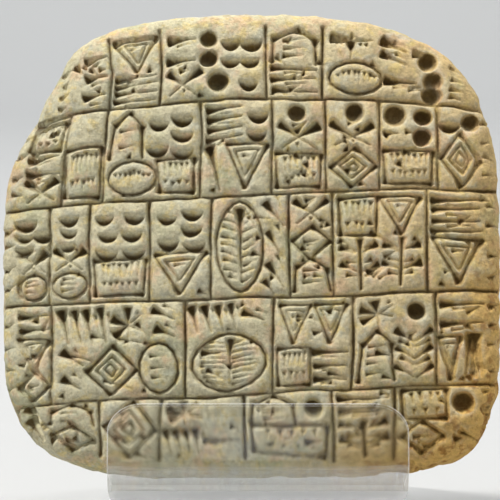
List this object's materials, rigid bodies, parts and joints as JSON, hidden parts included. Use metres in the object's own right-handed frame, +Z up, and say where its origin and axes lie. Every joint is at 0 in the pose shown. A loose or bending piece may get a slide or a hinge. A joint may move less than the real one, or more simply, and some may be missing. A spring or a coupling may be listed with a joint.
{
  "type": "clay tablet on display cradle",
  "caption": "Square rounded clay tablet with ruled rows of stylus marks, standing upright in a bent clear acrylic cradle.",
  "frame": {"origin": "middle of the overall box, on the table under the cradle's foot", "axes": "+Z up, the written face looks towards -Y and leans back 16 degrees, +X to the right of someone facing it"},
  "size_m": [0.085, 0.0616, 0.087],
  "materials": {
    "clay": "matte, weathered, dusty",
    "clear_acrylic": "clear, polished"
  },
  "bodies": {
    "root": {"tablet": "clay", "stand": "clear_acrylic"}
  },
  "joints": []
}
